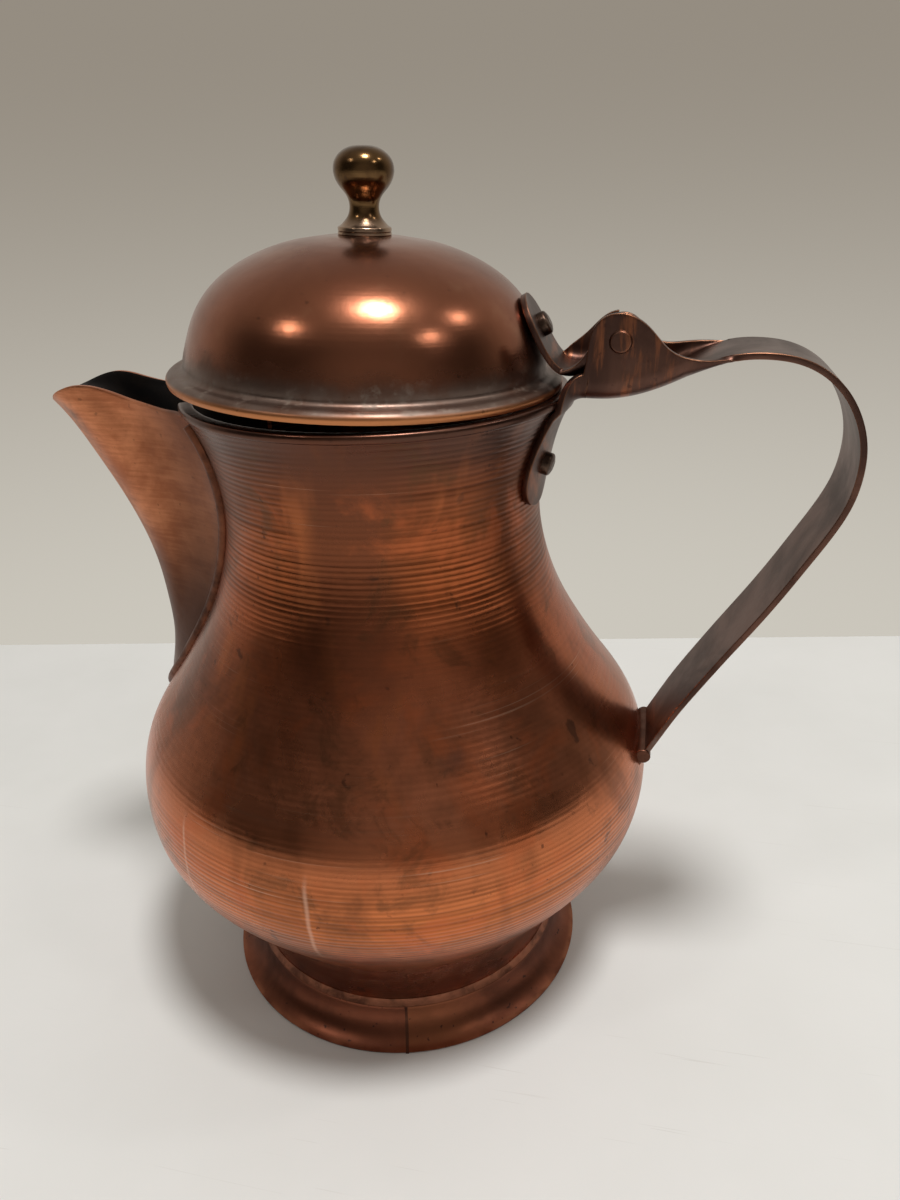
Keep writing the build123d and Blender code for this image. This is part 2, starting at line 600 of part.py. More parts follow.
pieces = {
    "body_shell": body_shell, "foot_ring": foot_ring, "foot_seam": foot_seam, "foot_solder": foot_solder,
    "spout": spout, "spout_solder": spout_solder, "lid_dome": lid_dome, "lid_knob": lid_knob,
    "knob_washer": knob_washer, "lid_strap": lid_strap, "lid_rivet": lid_rivet, "hinge_pin": hinge_pin,
    "handle_strap": handle_strap, "neck_rivet": neck_rivet, "handle_solder": handle_solder,
}
for name, piece in pieces.items():
    piece.part.label = name
export_step(body_shell.part, "parts/body_shell.step")
export_step(foot_ring.part, "parts/foot_ring.step")
export_step(foot_seam.part, "parts/foot_seam.step")
export_step(foot_solder.part, "parts/foot_solder.step")
export_step(spout.part, "parts/spout.step")
export_step(spout_solder.part, "parts/spout_solder.step")
export_step(lid_dome.part, "parts/lid_dome.step")
export_step(lid_knob.part, "parts/lid_knob.step")
export_step(knob_washer.part, "parts/knob_washer.step")
export_step(lid_strap.part, "parts/lid_strap.step")
export_step(lid_rivet.part, "parts/lid_rivet.step")
export_step(hinge_pin.part, "parts/hinge_pin.step")
export_step(handle_strap.part, "parts/handle_strap.step")
export_step(neck_rivet.part, "parts/neck_rivet.step")
export_step(handle_solder.part, "parts/handle_solder.step")
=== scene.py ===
# Dresses the copper jug's frame: turned sheet surfaces, patina, table, light and camera.
# Shape values are in millimetres and repeat the part's own sizes. The scene is in metres.
import math

import bmesh
import bpy
import numpy as np
from mathutils import Matrix, Vector


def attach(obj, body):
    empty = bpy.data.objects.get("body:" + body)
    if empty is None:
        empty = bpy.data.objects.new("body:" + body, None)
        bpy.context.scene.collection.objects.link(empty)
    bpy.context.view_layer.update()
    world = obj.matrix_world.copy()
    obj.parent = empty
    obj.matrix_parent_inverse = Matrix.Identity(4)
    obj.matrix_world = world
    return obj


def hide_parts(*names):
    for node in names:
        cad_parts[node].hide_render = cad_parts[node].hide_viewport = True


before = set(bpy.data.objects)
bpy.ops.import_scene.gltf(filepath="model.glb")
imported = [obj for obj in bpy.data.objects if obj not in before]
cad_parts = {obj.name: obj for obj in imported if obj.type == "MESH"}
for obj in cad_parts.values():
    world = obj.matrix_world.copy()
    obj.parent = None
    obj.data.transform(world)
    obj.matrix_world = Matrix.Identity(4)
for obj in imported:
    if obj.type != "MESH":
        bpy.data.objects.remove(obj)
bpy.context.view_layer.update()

MM = 0.001
TURN = 2 * math.pi

# foot and body
foot_r, foot_h, foot_t = 60.0, 11.6, 1.4
seam_angle, seam_w = -76.0, 1.0
collar_r, bottom_z, bottom_round, wall = 51.2, 8.5, 1.6, 1.2
belly_r, belly_z = 80.4, 75.3
waist_r, neck_h = 45.8, 32.3
rim_z, rim_r, hem_w, hem_h = 192.9, 53.8, 3.9, 2.4
waist_z = rim_z - neck_h
neck_end = (rim_r - 0.9, rim_z - hem_h)

# spout
spout_t, spout_low = 1.2, 86.0
notch_w, notch_deep = 48.0, 59.9

# lid
lid_tilt, lid_back, lid_rise, lid_over, lid_t = 2.8, 2.3, 2.72, 0.1, 1.1
dome_h, bead_w, bead_h, seat_r = 36.5, 4.7, 4.6, 7.6
knob_r, knob_h = 7.8, 21.0
edge_r = rim_r + lid_over
dome_r = edge_r - bead_w


def between(start, end, shares):
    """Points whose x and y go from one corner to the other by their shares."""
    return [(start[0] + a * (end[0] - start[0]), start[1] + b * (end[1] - start[1])) for a, b in shares]


def lengths(points):
    """Distance along a line of points, from its first."""
    return np.concatenate([[0.0], np.cumsum(np.linalg.norm(np.diff(points, axis=0), axis=1))])


def on_line(line, value, by=0):
    """The line's other coordinate where the one numbered by has a value."""
    return np.interp(value, line[:, by], line[:, 1 - by])


def smooth(points, count, start=None, end=None):
    """Points along a cubic curve through the given ones, evenly spaced."""
    p = np.array(points, float)
    s = lengths(p)
    h = np.diff(s)
    n = len(p)
    a, b = np.zeros((n, n)), np.zeros_like(p)
    for i in range(1, n - 1):
        a[i, i - 1], a[i, i], a[i, i + 1] = h[i], 2 * (h[i - 1] + h[i]), h[i - 1]
        b[i] = 3 * (h[i] * (p[i] - p[i - 1]) / h[i - 1] + h[i - 1] * (p[i + 1] - p[i]) / h[i])
    for i, j, k, way in ((0, 1, 0, start), (n - 1, n - 2, n - 2, end)):
        if way is None:
            a[i, i], a[i, j], b[i] = 2, 1, 3 * (p[k + 1] - p[k]) / h[k]
        else:
            a[i, i], b[i] = 1, np.array(way, float) / np.linalg.norm(way)
    m = np.linalg.solve(a, b)
    out = []
    for q in np.linspace(0, s[-1], count + 1):
        i = min(int(np.searchsorted(s, q, side="right")) - 1, n - 2)
        t, w = (q - s[i]) / h[i], h[i]
        out.append((2 * t**3 - 3 * t**2 + 1) * p[i] + (t**3 - 2 * t**2 + t) * w * m[i]
                   + (3 * t**2 - 2 * t**3) * p[i + 1] + (t**3 - t**2) * w * m[i + 1])
    return np.array(out)


def beside(line, distance):
    """The line moved sideways to its left."""
    t = np.gradient(line, axis=0)
    t /= np.linalg.norm(t, axis=1)[:, None]
    return line + distance * np.stack([-t[:, 1], t[:, 0]], axis=1)


def rounded(points, radius, steps=4):
    """Closed outline with its corners rounded."""
    out = []
    n = len(points)
    for i in range(n):
        p = np.array(points[i], float)
        a, b = np.array(points[i - 1], float) - p, np.array(points[(i + 1) % n], float) - p
        ra = min(radius, np.linalg.norm(a) * 0.45)
        rb = min(radius, np.linalg.norm(b) * 0.45)
        a, b = p + a / np.linalg.norm(a) * ra, p + b / np.linalg.norm(b) * rb
        for k in range(steps + 1):
            t = k / steps
            out.append((1 - t) ** 2 * a + 2 * t * (1 - t) * p + t**2 * b)
    return np.array(out)


def piece(name, verts, faces, body, nodes, place=Matrix()):
    """Mesh object in the row frame that rides on a body and stands for CAD nodes."""
    mesh = bpy.data.meshes.new(name)
    mesh.from_pydata([tuple(v) for v in np.array(verts) * MM], [], faces)
    bm = bmesh.new()
    bm.from_mesh(mesh)
    bmesh.ops.remove_doubles(bm, verts=bm.verts, dist=2e-6)
    bmesh.ops.recalc_face_normals(bm, faces=bm.faces)
    for f in bm.faces:
        f.smooth = True
    bm.to_mesh(mesh)
    bm.free()
    mesh.set_sharp_from_angle(angle=math.radians(38))
    obj = bpy.data.objects.new(name, mesh)
    bpy.context.scene.collection.objects.link(obj)
    obj.matrix_world = place
    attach(obj, body)
    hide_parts(*nodes)
    return obj


def turned(profile, segments, closed=False, start=0.0, sweep=TURN):
    """Vertices and faces of a profile turned about Z, with flat ends where it isn't a full turn."""
    full = abs(sweep - TURN) < 1e-9
    rows, cols = len(profile), segments if full else segments + 1
    verts = [(r * math.cos(start + sweep * j / segments), r * math.sin(start + sweep * j / segments), z)
             for j in range(cols) for r, z in profile]
    faces = []
    for j in range(segments):
        k = (j + 1) % cols
        for i in range(rows if closed else rows - 1):
            n = (i + 1) % rows
            faces.append((j * rows + i, k * rows + i, k * rows + n, j * rows + n))
    if closed and not full:
        faces.append(tuple(range(rows)))
        faces.append(tuple((cols - 1) * rows + i for i in reversed(range(rows))))
    return verts, faces


# the body's outline: collar to belly, belly to waist, waist to rim
belly_pts = between((collar_r, foot_h + 1), (belly_r, belly_z), [
    (0, 0), (0.058, 0.112), (0.164, 0.242), (0.308, 0.36), (0.497, 0.475), (0.709, 0.603), (0.901, 0.751)])
belly_pts += between((waist_r, waist_z), (belly_r, belly_z), [
    (1, 1), (0.896, 0.797), (0.662, 0.652), (0.425, 0.506), (0.228, 0.362), (0.072, 0.193), (0, 0)])
belly_pts += between((waist_r, waist_z), neck_end, [(0.2535, 0.515), (0.859, 0.936), (1, 1)])
belly_line = smooth(belly_pts, 240, (0, 1), (0.45, 0.89))


def body_r(z):
    """The body's outer radius at a height."""
    return on_line(belly_line, z, 1)


# half width of the opening behind the spout, by height
notch_line = smooth([(0.5, rim_z - notch_deep)] + [
    (notch_w / 2 * a, rim_z - notch_deep * b) for a, b in ((0.375, 0.85), (0.71, 0.499), (1, 0.082))], 60)


def notch_angle(r, z):
    """Half the angle that the opening takes out of the neck."""
    if z <= notch_line[0, 1] or r < 1:
        return 0.0
    return math.asin(min(0.9, on_line(notch_line, z, 1) / r))


def build_body():
    """Spun sheet with its opening, outside and inside."""
    corner = [(collar_r - bottom_round * (1 - math.sin(a)), bottom_z + bottom_round * (1 - math.cos(a)))
              for a in np.linspace(0, math.pi / 2, 5)]
    outer = np.array([(0.01, bottom_z), (collar_r * 0.5, bottom_z)] + corner + belly_line[1:].tolist())
    inner = beside(outer, wall)
    inner[0] = (0.01, bottom_z + wall)
    rows, segments = len(outer), 360
    verts, faces = [], []
    for line in (outer, inner):
        for r, z in line:
            gap = notch_angle(r, min(z, neck_end[1]))
            for j in range(segments + 1):
                a = (1 - 2 * j / segments) * (math.pi - gap)
                verts.append((r * math.cos(a), r * math.sin(a), z))
    cols = segments + 1
    for side in (0, 1):
        for i in range(rows - 1):
            for j in range(segments):
                a = (side * rows + i) * cols + j
                b, c, d = a + 1, a + cols + 1, a + cols
                faces.append((a, b, c, d) if side else (a, d, c, b))
    for i in range(rows - 1):
        if outer[i][1] > notch_line[0, 1]:
            for j in (0, segments):
                a, b = i * cols + j, (rows + i) * cols + j
                faces.append((a, a + cols, b + cols, b))
    return piece("body_sheet", verts, faces, "jug", ["body_shell"])


def build_hem():
    """Rolled hem at the neck's rim, open where the spout joins."""
    gap = math.asin(notch_w / 2 / (rim_r - hem_w / 2))
    inner, low = rim_r - hem_w, rim_z - hem_h
    line = rounded([(inner, low), (rim_r, low), (rim_r, rim_z), (inner, rim_z)], 1.0)
    verts, faces = turned(line, 300, True, -math.pi + gap, TURN - 2 * gap)
    return piece("body_hem", verts, faces, "jug", ["body_shell"])


def build_foot():
    """Flared ring with its butt seam left open for the solder."""
    lap_r = collar_r + foot_t
    out = smooth(between((lap_r, foot_h), (foot_r, 0), [(0, 0), (0.135, 0.414), (0.486, 0.741)])
                 + [(foot_r, 0.7)], 28, (0.05, -1), (1, -0.35))
    back = smooth(between((foot_r - 2, 0), (collar_r, foot_h), [(0, 0), (0.426, 0.164), (0.84, 0.517)])
                  + [(collar_r, foot_h - 2.4)], 24, (-1, 0.35), (-0.05, 1))
    edge = [(foot_r - 0.05, 0.35), (foot_r - 0.3, 0.08), (foot_r - 0.7, 0)]
    line = np.array([(collar_r, foot_h), (lap_r - 0.5, foot_h), (lap_r - 0.1, foot_h - 0.15)]
                    + out[1:].tolist() + edge + back.tolist())
    gap = seam_w / foot_r * 0.5
    start = math.radians(seam_angle) + gap
    verts, faces = turned(line, 300, True, start, TURN - 2 * gap)
    return piece("foot_flare", verts, faces, "jug", ["foot_ring"])


lid_place = Matrix.Translation((-lid_back * MM, 0, (rim_z + lid_rise) * MM)) @ Matrix.Rotation(
    math.radians(lid_tilt), 4, 'Y')


def build_dome():
    """Domed lid with its rolled bead, in the lid's own axes."""
    dome = smooth(between((seat_r, bead_h), (dome_r, dome_h), [
        (0, 1), (0.118, 0.984), (0.264, 0.953), (0.428, 0.89), (0.601, 0.787), (0.772, 0.627), (0.906, 0.395),
        (0.981, 0.125), (1, 0)]), 110, (1, 0), (0, -1))
    bead = smooth(between((dome_r, 0), (edge_r, bead_h), [
        (0, 1), (0.15, 0.728), (0.51, 0.641), (0.83, 0.511), (1, 0.261), (0.936, 0)]),
        36, (0, -1), (-0.3, -1))
    under = smooth(between((dome_r, 0), (edge_r, bead_h), [
        (0.723, 0), (0.766, 0.217), (0.66, 0.337), (0.468, 0.402), (0.043, 0.478)])
        + [(dome_r - lid_t, bead_h)], 30, (0.3, 1), (0, 1))
    inside = beside(dome, -lid_t)[::-1]
    line = ([(0.01, dome_h), (seat_r * 0.5, dome_h)] + dome.tolist() + bead[1:].tolist() + under.tolist()
            + inside[1:].tolist() + [(0.01, dome_h - lid_t)])
    verts, faces = turned(line, 360)
    return piece("lid_shell", verts, faces, "lid", ["lid_dome"], lid_place)


def build_knob():
    """Turned knob with a grooved base."""
    base = seat_r - 0.55
    line = [(0.01, dome_h)] + [(base - back, dome_h + up) for back, up in (
        (0.2, 0), (0, 0.2), (0, 0.75), (0.25, 0.9), (0, 1.05), (0, 1.75), (0.15, 2.0))]
    stem = smooth([(base - 0.35, dome_h + 2.1)] + between((0, dome_h), (knob_r, dome_h + knob_h), [
        (0.705, 0.148), (0.577, 0.205), (0.494, 0.305), (0.564, 0.429), (0.795, 0.538), (0.962, 0.648),
        (1, 0.738), (0.936, 0.838), (0.692, 0.938), (0.372, 0.988), (0.001, 1)]), 90, (-1, 0.5), (-1, 0))
    verts, faces = turned(line + stem.tolist(), 160)
    return piece("knob_turned", verts, faces, "lid", ["lid_knob"], lid_place)


# spout: height as a share, keel outside the body, half width, share of the pinched outline
spout_levels = smooth([(spout_low + a * (rim_z - spout_low), out, half, share) for a, out, half, share in (
    (0.0, -3.03, 3.2, 0.0), (0.056, 0.42, 6.0, 0.0), (0.112, 3.43, 9.0, 0.0), (0.187, 7.41, 12.6, 0.0),
    (0.262, 11.78, 14.8, 0.1), (0.365, 18.9, 16.4, 0.25), (0.486, 26.49, 18.5, 0.4),
    (0.599, 33.53, 20.6, 0.55), (0.692, 39.08, 22.8, 0.7), (0.805, 44.61, 25.8, 0.85),
    (0.926, 49.49, 28.4, 1.0), (1.048, 56.35, 29.8, 1.0))], 240)
# the cheek from the keel to the neck, seen from above: share of the way, share of the half width
pinched = smooth([
    (0.0, 0.0), (0.04, 0.12), (0.1, 0.22), (0.2, 0.35), (0.3, 0.395), (0.38, 0.39), (0.46, 0.39),
    (0.54, 0.42), (0.62, 0.47), (0.7, 0.54), (0.78, 0.625), (0.86, 0.72), (0.93, 0.84), (1.0, 1.0)], 200)
lip_line = smooth([(rim_r + out, rim_z + up) for out, up in (
    (-1.8, -3.9), (3.2, -4.1), (8.2, -3.7), (13.2, -2.9), (18.2, -1.7), (23.2, -0.3), (28.2, 0.9),
    (33.2, 1.0), (38.2, -0.3), (43.2, -2.7), (47.6, -5.8), (58.2, -12.4))], 200)


def spout_point(u, z):
    """Point of the spout's outside: u runs from the keel to the neck."""
    out, half, share = (np.interp(z, spout_levels[:, 0], spout_levels[:, k]) for k in (1, 2, 3))
    r = body_r(min(z, neck_end[1] - 0.5))
    keel, root = r + out, max(math.sqrt(r * r - half * half), 0)
    w = on_line(pinched, u)
    return keel + u * (min(root, keel - 0.6) - keel), half * (share * w + (1 - share) * u ** 0.62)


def build_spout():
    """Folded sheet spout: a grid over both cheeks, from its root on the belly to the lip."""
    rows, half_cols, low = 110, 56, spout_low + 2.5
    verts, faces = [], []
    for j in range(-half_cols, half_cols + 1):
        u = (abs(j) / half_cols) ** 1.7
        top = rim_z
        for _ in range(30):
            x, _y = spout_point(u, top)
            top += 0.5 * (on_line(lip_line, x) - top)
        for i in range(rows + 1):
            z = low + (top - low) * i / rows
            x, y = spout_point(u, z)
            verts.append((-x, y if j > 0 else -y, z))
    for j in range(2 * half_cols):
        for i in range(rows):
            a = j * (rows + 1) + i
            faces.append((a, a + 1, a + rows + 2, a + rows + 1))
    obj = piece("spout_sheet", verts, faces, "jug", ["spout"])
    bm = bmesh.new()
    bm.from_mesh(obj.data)
    outward = sum(f.normal.y * f.calc_center_median().y for f in bm.faces)
    if outward < 0:
        bmesh.ops.reverse_faces(bm, faces=bm.faces)
    bm.to_mesh(obj.data)
    bm.free()
    thick = obj.modifiers.new("sheet", 'SOLIDIFY')
    thick.thickness, thick.offset, thick.material_offset = spout_t * MM, -1, 1
    edge = obj.modifiers.new("edge", 'BEVEL')
    edge.width, edge.segments, edge.angle_limit = 0.35 * MM, 2, math.radians(50)
    return obj


# hinge and handle
pin_x, pin_z = rim_r + 13.2, rim_z + 14.3
strap_w, strap_t, leaf_w, leaf_t = 24.0, 1.6, 20.0, 1.5
strap_cols = 64
trough_z, trough_round = rim_z - 0.6 + strap_t / 2, 4.0
trough_from, trough_len = rim_r + 4.2, 36.0
tongue_tip, tongue_gap, rivet_turn = 29.25, 0.1, math.radians(-10)
handle_low = 82.0
leaf_rise, leaf_round = 5.5, 3.4
tab_rise, tab_face, tab_round, tab_angle = 24.3, 133.32, 10.0, math.radians(26.57)


def ribbon(name, grid, thickness, body, nodes):
    """Bent sheet through a grid of points: rows along it, columns across it."""
    rows, cols = len(grid), len(grid[0])
    verts = [p for row in grid for p in row]
    faces = [(i * cols + j, i * cols + j + 1, (i + 1) * cols + j + 1, (i + 1) * cols + j)
             for i in range(rows - 1) for j in range(cols - 1)]
    obj = piece(name, verts, faces, body, nodes)
    sheet = obj.modifiers.new("sheet", 'SOLIDIFY')
    sheet.thickness, sheet.offset, sheet.use_even_offset = thickness * MM, 0, True
    edge = obj.modifiers.new("edge", 'BEVEL')
    edge.width, edge.segments, edge.angle_limit = 0.3 * MM, 2, math.radians(50)
    edge.use_clamp_overlap = True
    return obj


def folded(width, thickness, near_top, far_top, floor, radius):
    """Cross-section of a folded strap: (y, height) from the near ear's top to the far ear's."""
    halves = []
    for side, top in ((-1, near_top), (1, far_top)):
        rise = max(top - floor, 0.0)
        bend = min(radius, 0.9 * rise)
        out = (width - thickness * min(1.0, rise / 2.5)) / 2
        halves.append([(side * out, floor + rise)] + [
            (side * (out - bend * (1 - math.cos(t))), floor + bend * (1 - math.sin(t)))
            for t in np.linspace(0, math.pi / 2, 12)])
    line = np.array(halves[0] + halves[1][::-1])
    s = lengths(line)
    at = np.linspace(0, s[-1], strap_cols)
    return list(zip(np.interp(at, s, line[:, 0]), np.interp(at, s, line[:, 1])))


def about_pin(points, count):
    """Smooth line through points that are given from the hinge pin."""
    return smooth([(pin_x + a, pin_z + b) for a, b in points], count)


# tops of the handle's two ears, and the strap's own line over the bow
near_ear = about_pin([
    (-12.4, -13.2), (-10.4, -11.2), (-8.7, -6.9), (-8.1, -3.8), (-7.8, -0.3), (-6.8, 3.1), (-4.6, 5.6),
    (-0.6, 6.8), (3.0, 6.0), (6.8, 3.4), (9.4, 0.6), (12.5, -2.3), (16.6, -3.9), (21.0, -4.3),
    (26.0, -3.6)], 160)
far_ear = about_pin([
    (-12.4, -13.2), (-10.4, -11.2), (-8.5, -6.9), (-7.6, -3.4), (-6.2, 0.2), (-3.8, 3.0), (-0.4, 4.1),
    (3.0, 3.0), (5.6, 0.2), (7.6, -2.3), (10.5, -3.5), (16.0, -3.4), (21.0, -3.1), (26.0, -3.3)], 160)
crest = [(rim_r + out, rim_z + up) for out, up in (
    (3.2, trough_z - rim_z), (10.7, trough_z - rim_z), (18.6, 1.6), (25.8, 4.3), (30.4, 6.5), (34.8, 8.7),
    (39.2, 10.3), (44.2, 11.1), (49.2, 11.1), (56.2, 9.9), (61.7, 7.3), (66.7, 2.9), (70.7, -3.4),
    (73.0, -10.9), (73.2, -17.9))]
low_end = (body_r(handle_low) - 2.5, handle_low)
bow_line = smooth(crest + between(low_end, crest[-1], [
    (0.976, 0.925), (0.911, 0.839), (0.818, 0.747), (0.717, 0.651), (0.595, 0.543), (0.464, 0.435),
    (0.332, 0.323), (0.206, 0.21), (0.101, 0.102), (0.043, 0.043), (0, 0)]), 300, (1, 0), (-0.5, -0.95))

# tongue on the neck, seen along its rivet: how far aside and how far under the rim
tongue_near = smooth([
    (-1.0, -29.3), (-4.2, -28.8), (-8.2, -25.4), (-9.6, -20.0), (-8.8, -14.0), (-6.4, -6.0),
    (-5.2, -2.0)], 60)
tongue_far = smooth([
    (-0.9, -29.3), (2.2, -28.6), (6.2, -25.6), (9.8, -18.6), (13.4, -9.0), (17.6, -2.0)], 60)


def build_handle():
    """Handle strap: tongue round the neck, trough with ears, bow and lower end."""
    grid = []
    # tongue: from its tip up to the hem, outside the neck and the hem
    low, high = rim_z - tongue_tip, rim_z - hem_h - 0.5
    for t in np.linspace(0, 1, 46):
        z = low + (high - low) * t ** 1.6
        near, far = on_line(tongue_near, z - rim_z, 1), on_line(tongue_far, z - rim_z, 1)
        out = max(body_r(z), rim_r - 0.9 * (rim_z - hem_h - z))
        r = out + strap_t / 2 + tongue_gap
        angles = [rivet_turn + math.asin(side / r) for side in np.linspace(near, far, strap_cols)]
        grid.append([(r * math.cos(a), r * math.sin(a), z) for a in angles])
    # trough with its ears
    peak = int(np.argmax(bow_line[:, 0]))
    trough = []
    for x in np.linspace(trough_from, trough_from + trough_len, 90):
        section = folded(strap_w, strap_t, on_line(near_ear, x), on_line(far_ear, x),
                         on_line(bow_line[:peak], x), trough_round)
        trough.append([(x, y, z) for y, z in section])
    # bend outside the hem, between the tongue and the trough
    hem_row = np.array(grid[-1])
    first = np.array(trough[0])
    corner = hem_row + (first - hem_row) * (0.25, 0.5, 1.0)
    for t in np.linspace(0, 1, 9)[1:-1]:
        grid.append((1 - t) ** 2 * hem_row + 2 * t * (1 - t) * corner + t * t * first)
    grid += trough
    # bow and lower end: level across
    last = int(np.argmax(bow_line[:, 0] > trough_from + trough_len + 0.8))
    for x, z in bow_line[last::2]:
        grid.append([(x, y, z) for y in np.linspace(-strap_w / 2, strap_w / 2, strap_cols)])
    return ribbon("handle_bow", grid, strap_t, "jug", ["handle_strap"])


def build_leaf():
    """Hinge leaf of the lid: tab on the dome, floor and two ears round the pin."""
    floor = rim_z + leaf_rise + leaf_t / 2
    bend_z, mid_z, top_z = floor + 3.0, rim_z + 17, rim_z + tab_rise

    def on_tab(z):
        return (tab_face + leaf_t / 2 - math.sin(tab_angle) * z) / math.cos(tab_angle)

    line = smooth([(on_tab(top_z), top_z), (on_tab(mid_z), mid_z), (on_tab(bend_z + 3), bend_z + 3),
                   (on_tab(bend_z) + 0.4, bend_z), (on_tab(bend_z) + 3.6, floor + 0.15),
                   (pin_x - 7.5, floor - 0.1), (pin_x - 4.5, floor + 0.5), (pin_x - 1.5, floor + 2.6)], 90)
    ears = [about_pin([(-15.5, -7.6), (-12.6, -7.0), (-9.5, -4.5), (-7.0, -0.5), (-4.5, 3.4), (-1.0, 5.6),
                       (2.5, 5.2)], 60),
            about_pin([(-16.2, -7.4), (-15.0, -5.2), (-12.8, -3.3), (-9.1, -0.2), (-6.6, 2.3), (-3.7, 4.3),
                       (-1.0, 4.9), (2.5, 4.3)], 60)]
    grid = []
    for (x, z), way in zip(line, lengths(line)):
        # the tab's end is round
        short = 1 - min(way / tab_round, 1)
        width = leaf_w * math.sqrt(max(1 - short ** 2, 0.004))
        near, far = (max(on_line(ear, x), z) if x > ear[0, 0] else z for ear in ears)
        grid.append([(x, y, h) for y, h in folded(width, leaf_t, near, far, z, leaf_round)])
    return ribbon("hinge_leaf", grid, leaf_t, "lid", ["lid_strap"])


class Paint:
    """Short names for the nodes of one procedural material."""

    def __init__(self, name, metallic=1.0):
        self.mat = bpy.data.materials.new(name)
        self.mat.use_nodes = True
        self.tree = self.mat.node_tree
        self.bsdf = self.tree.nodes["Principled BSDF"]
        self.bsdf.inputs["Metallic"].default_value = metallic
        self.place = self.new("ShaderNodeTexCoord").outputs["Object"]
        axes = self.new("ShaderNodeSeparateXYZ")
        self.link(self.place, axes.inputs[0])
        self.x, self.y, self.z = axes.outputs

    def new(self, kind, **props):
        node = self.tree.nodes.new(kind)
        for k, v in props.items():
            setattr(node, k, v)
        return node

    def link(self, source, target):
        if isinstance(source, (int, float)):
            target.default_value = source
        elif isinstance(source, tuple):
            target.default_value = (*source, 1.0) if len(target.default_value) == 4 else source
        else:
            self.tree.links.new(source, target)

    def math(self, op, a, b=0.0):
        node = self.new("ShaderNodeMath", operation=op)
        self.link(a, node.inputs[0])
        self.link(b, node.inputs[1])
        return node.outputs[0]

    def times(self, a, b):
        return self.math('MULTIPLY', a, b)

    def plus(self, a, b):
        return self.math('ADD', a, b)

    def around(self, value):
        """Noise moved so that its middle is at nought."""
        return self.math('SUBTRACT', value, 0.5)

    def noise(self, stretch, detail=3.0, rough=0.55, warp=0.0, at=0.0):
        """Noise with a number of features per metre along each axis."""
        scaled = self.new("ShaderNodeMapping")
        self.link(self.place, scaled.inputs["Vector"])
        scaled.inputs["Scale"].default_value = stretch if isinstance(stretch, tuple) else (stretch,) * 3
        scaled.inputs["Location"].default_value = (at, at * 0.7, at * 1.3)
        node = self.new("ShaderNodeTexNoise")
        self.link(scaled.outputs[0], node.inputs["Vector"])
        node.inputs["Scale"].default_value = 1.0
        node.inputs["Detail"].default_value = detail
        node.inputs["Roughness"].default_value = rough
        node.inputs["Distortion"].default_value = warp
        return node.outputs["Fac"]

    def fit(self, value, low, high, to_low=0.0, to_high=1.0):
        node = self.new("ShaderNodeMapRange", interpolation_type='SMOOTHSTEP')
        for k, v in enumerate((value, low, high, to_low, to_high)):
            self.link(v, node.inputs[k])
        return node.outputs[0]

    def level(self, low, high, to_low=0.0, to_high=1.0):
        """Mask by height, between two levels in millimetres."""
        return self.fit(self.z, low * MM, high * MM, to_low, to_high)

    def ramp(self, fac, stops):
        node = self.new("ShaderNodeValToRGB")
        self.link(fac, node.inputs[0])
        line = node.color_ramp
        while len(line.elements) < len(stops):
            line.elements.new(0.5)
        for e, (at, colour) in zip(line.elements, stops):
            e.position, e.color = at, (*colour, 1)
        return node.outputs[0]

    def by_height(self, low, high, stops):
        """Colour by height, its stops in millimetres."""
        fac = self.math('DIVIDE', self.math('SUBTRACT', self.z, low * MM), (high - low) * MM)
        return self.ramp(fac, [((z - low) / (high - low), colour) for z, colour in stops])

    def mix(self, fac, a, b):
        node = self.new("ShaderNodeMix", data_type='RGBA')
        self.link(fac, node.inputs[0])
        self.link(a, node.inputs[6])
        self.link(b, node.inputs[7])
        return node.outputs[2]

    def cover(self, colour, mask, amount, over):
        """Another colour laid over by an amount where the mask is."""
        return self.mix(self.times(mask, amount), colour, over)

    def shade(self, colour, fac):
        """Colour times a number."""
        node = self.new("ShaderNodeVectorMath", operation='SCALE')
        self.link(colour, node.inputs[0])
        self.link(fac, node.inputs[3])
        return node.outputs[0]

    def bump(self, *layers):
        """Bump layers, each a height and its depth in millimetres."""
        normal = None
        for height, depth in layers:
            node = self.new("ShaderNodeBump")
            node.inputs["Strength"].default_value = 1.0
            node.inputs["Distance"].default_value = depth * MM
            self.link(height, node.inputs["Height"])
            if normal is not None:
                self.link(normal, node.inputs["Normal"])
            normal = node.outputs[0]
        self.link(normal, self.bsdf.inputs["Normal"])

    def spot(self, centre, radius, soft=0.5, ragged=0.0):
        """Soft round mask at a place, in millimetres."""
        way = self.new("ShaderNodeVectorMath", operation='DISTANCE')
        self.link(self.place, way.inputs[0])
        way.inputs[1].default_value = [c * MM for c in centre]
        far = way.outputs["Value"]
        if ragged:
            far = self.plus(far, self.times(self.noise(260, 4), ragged * MM))
        return self.fit(far, radius * MM, radius * MM * soft)

    def finish(self, colour, rough):
        self.link(colour, self.bsdf.inputs["Base Color"])
        self.link(rough, self.bsdf.inputs["Roughness"])
        return self.mat


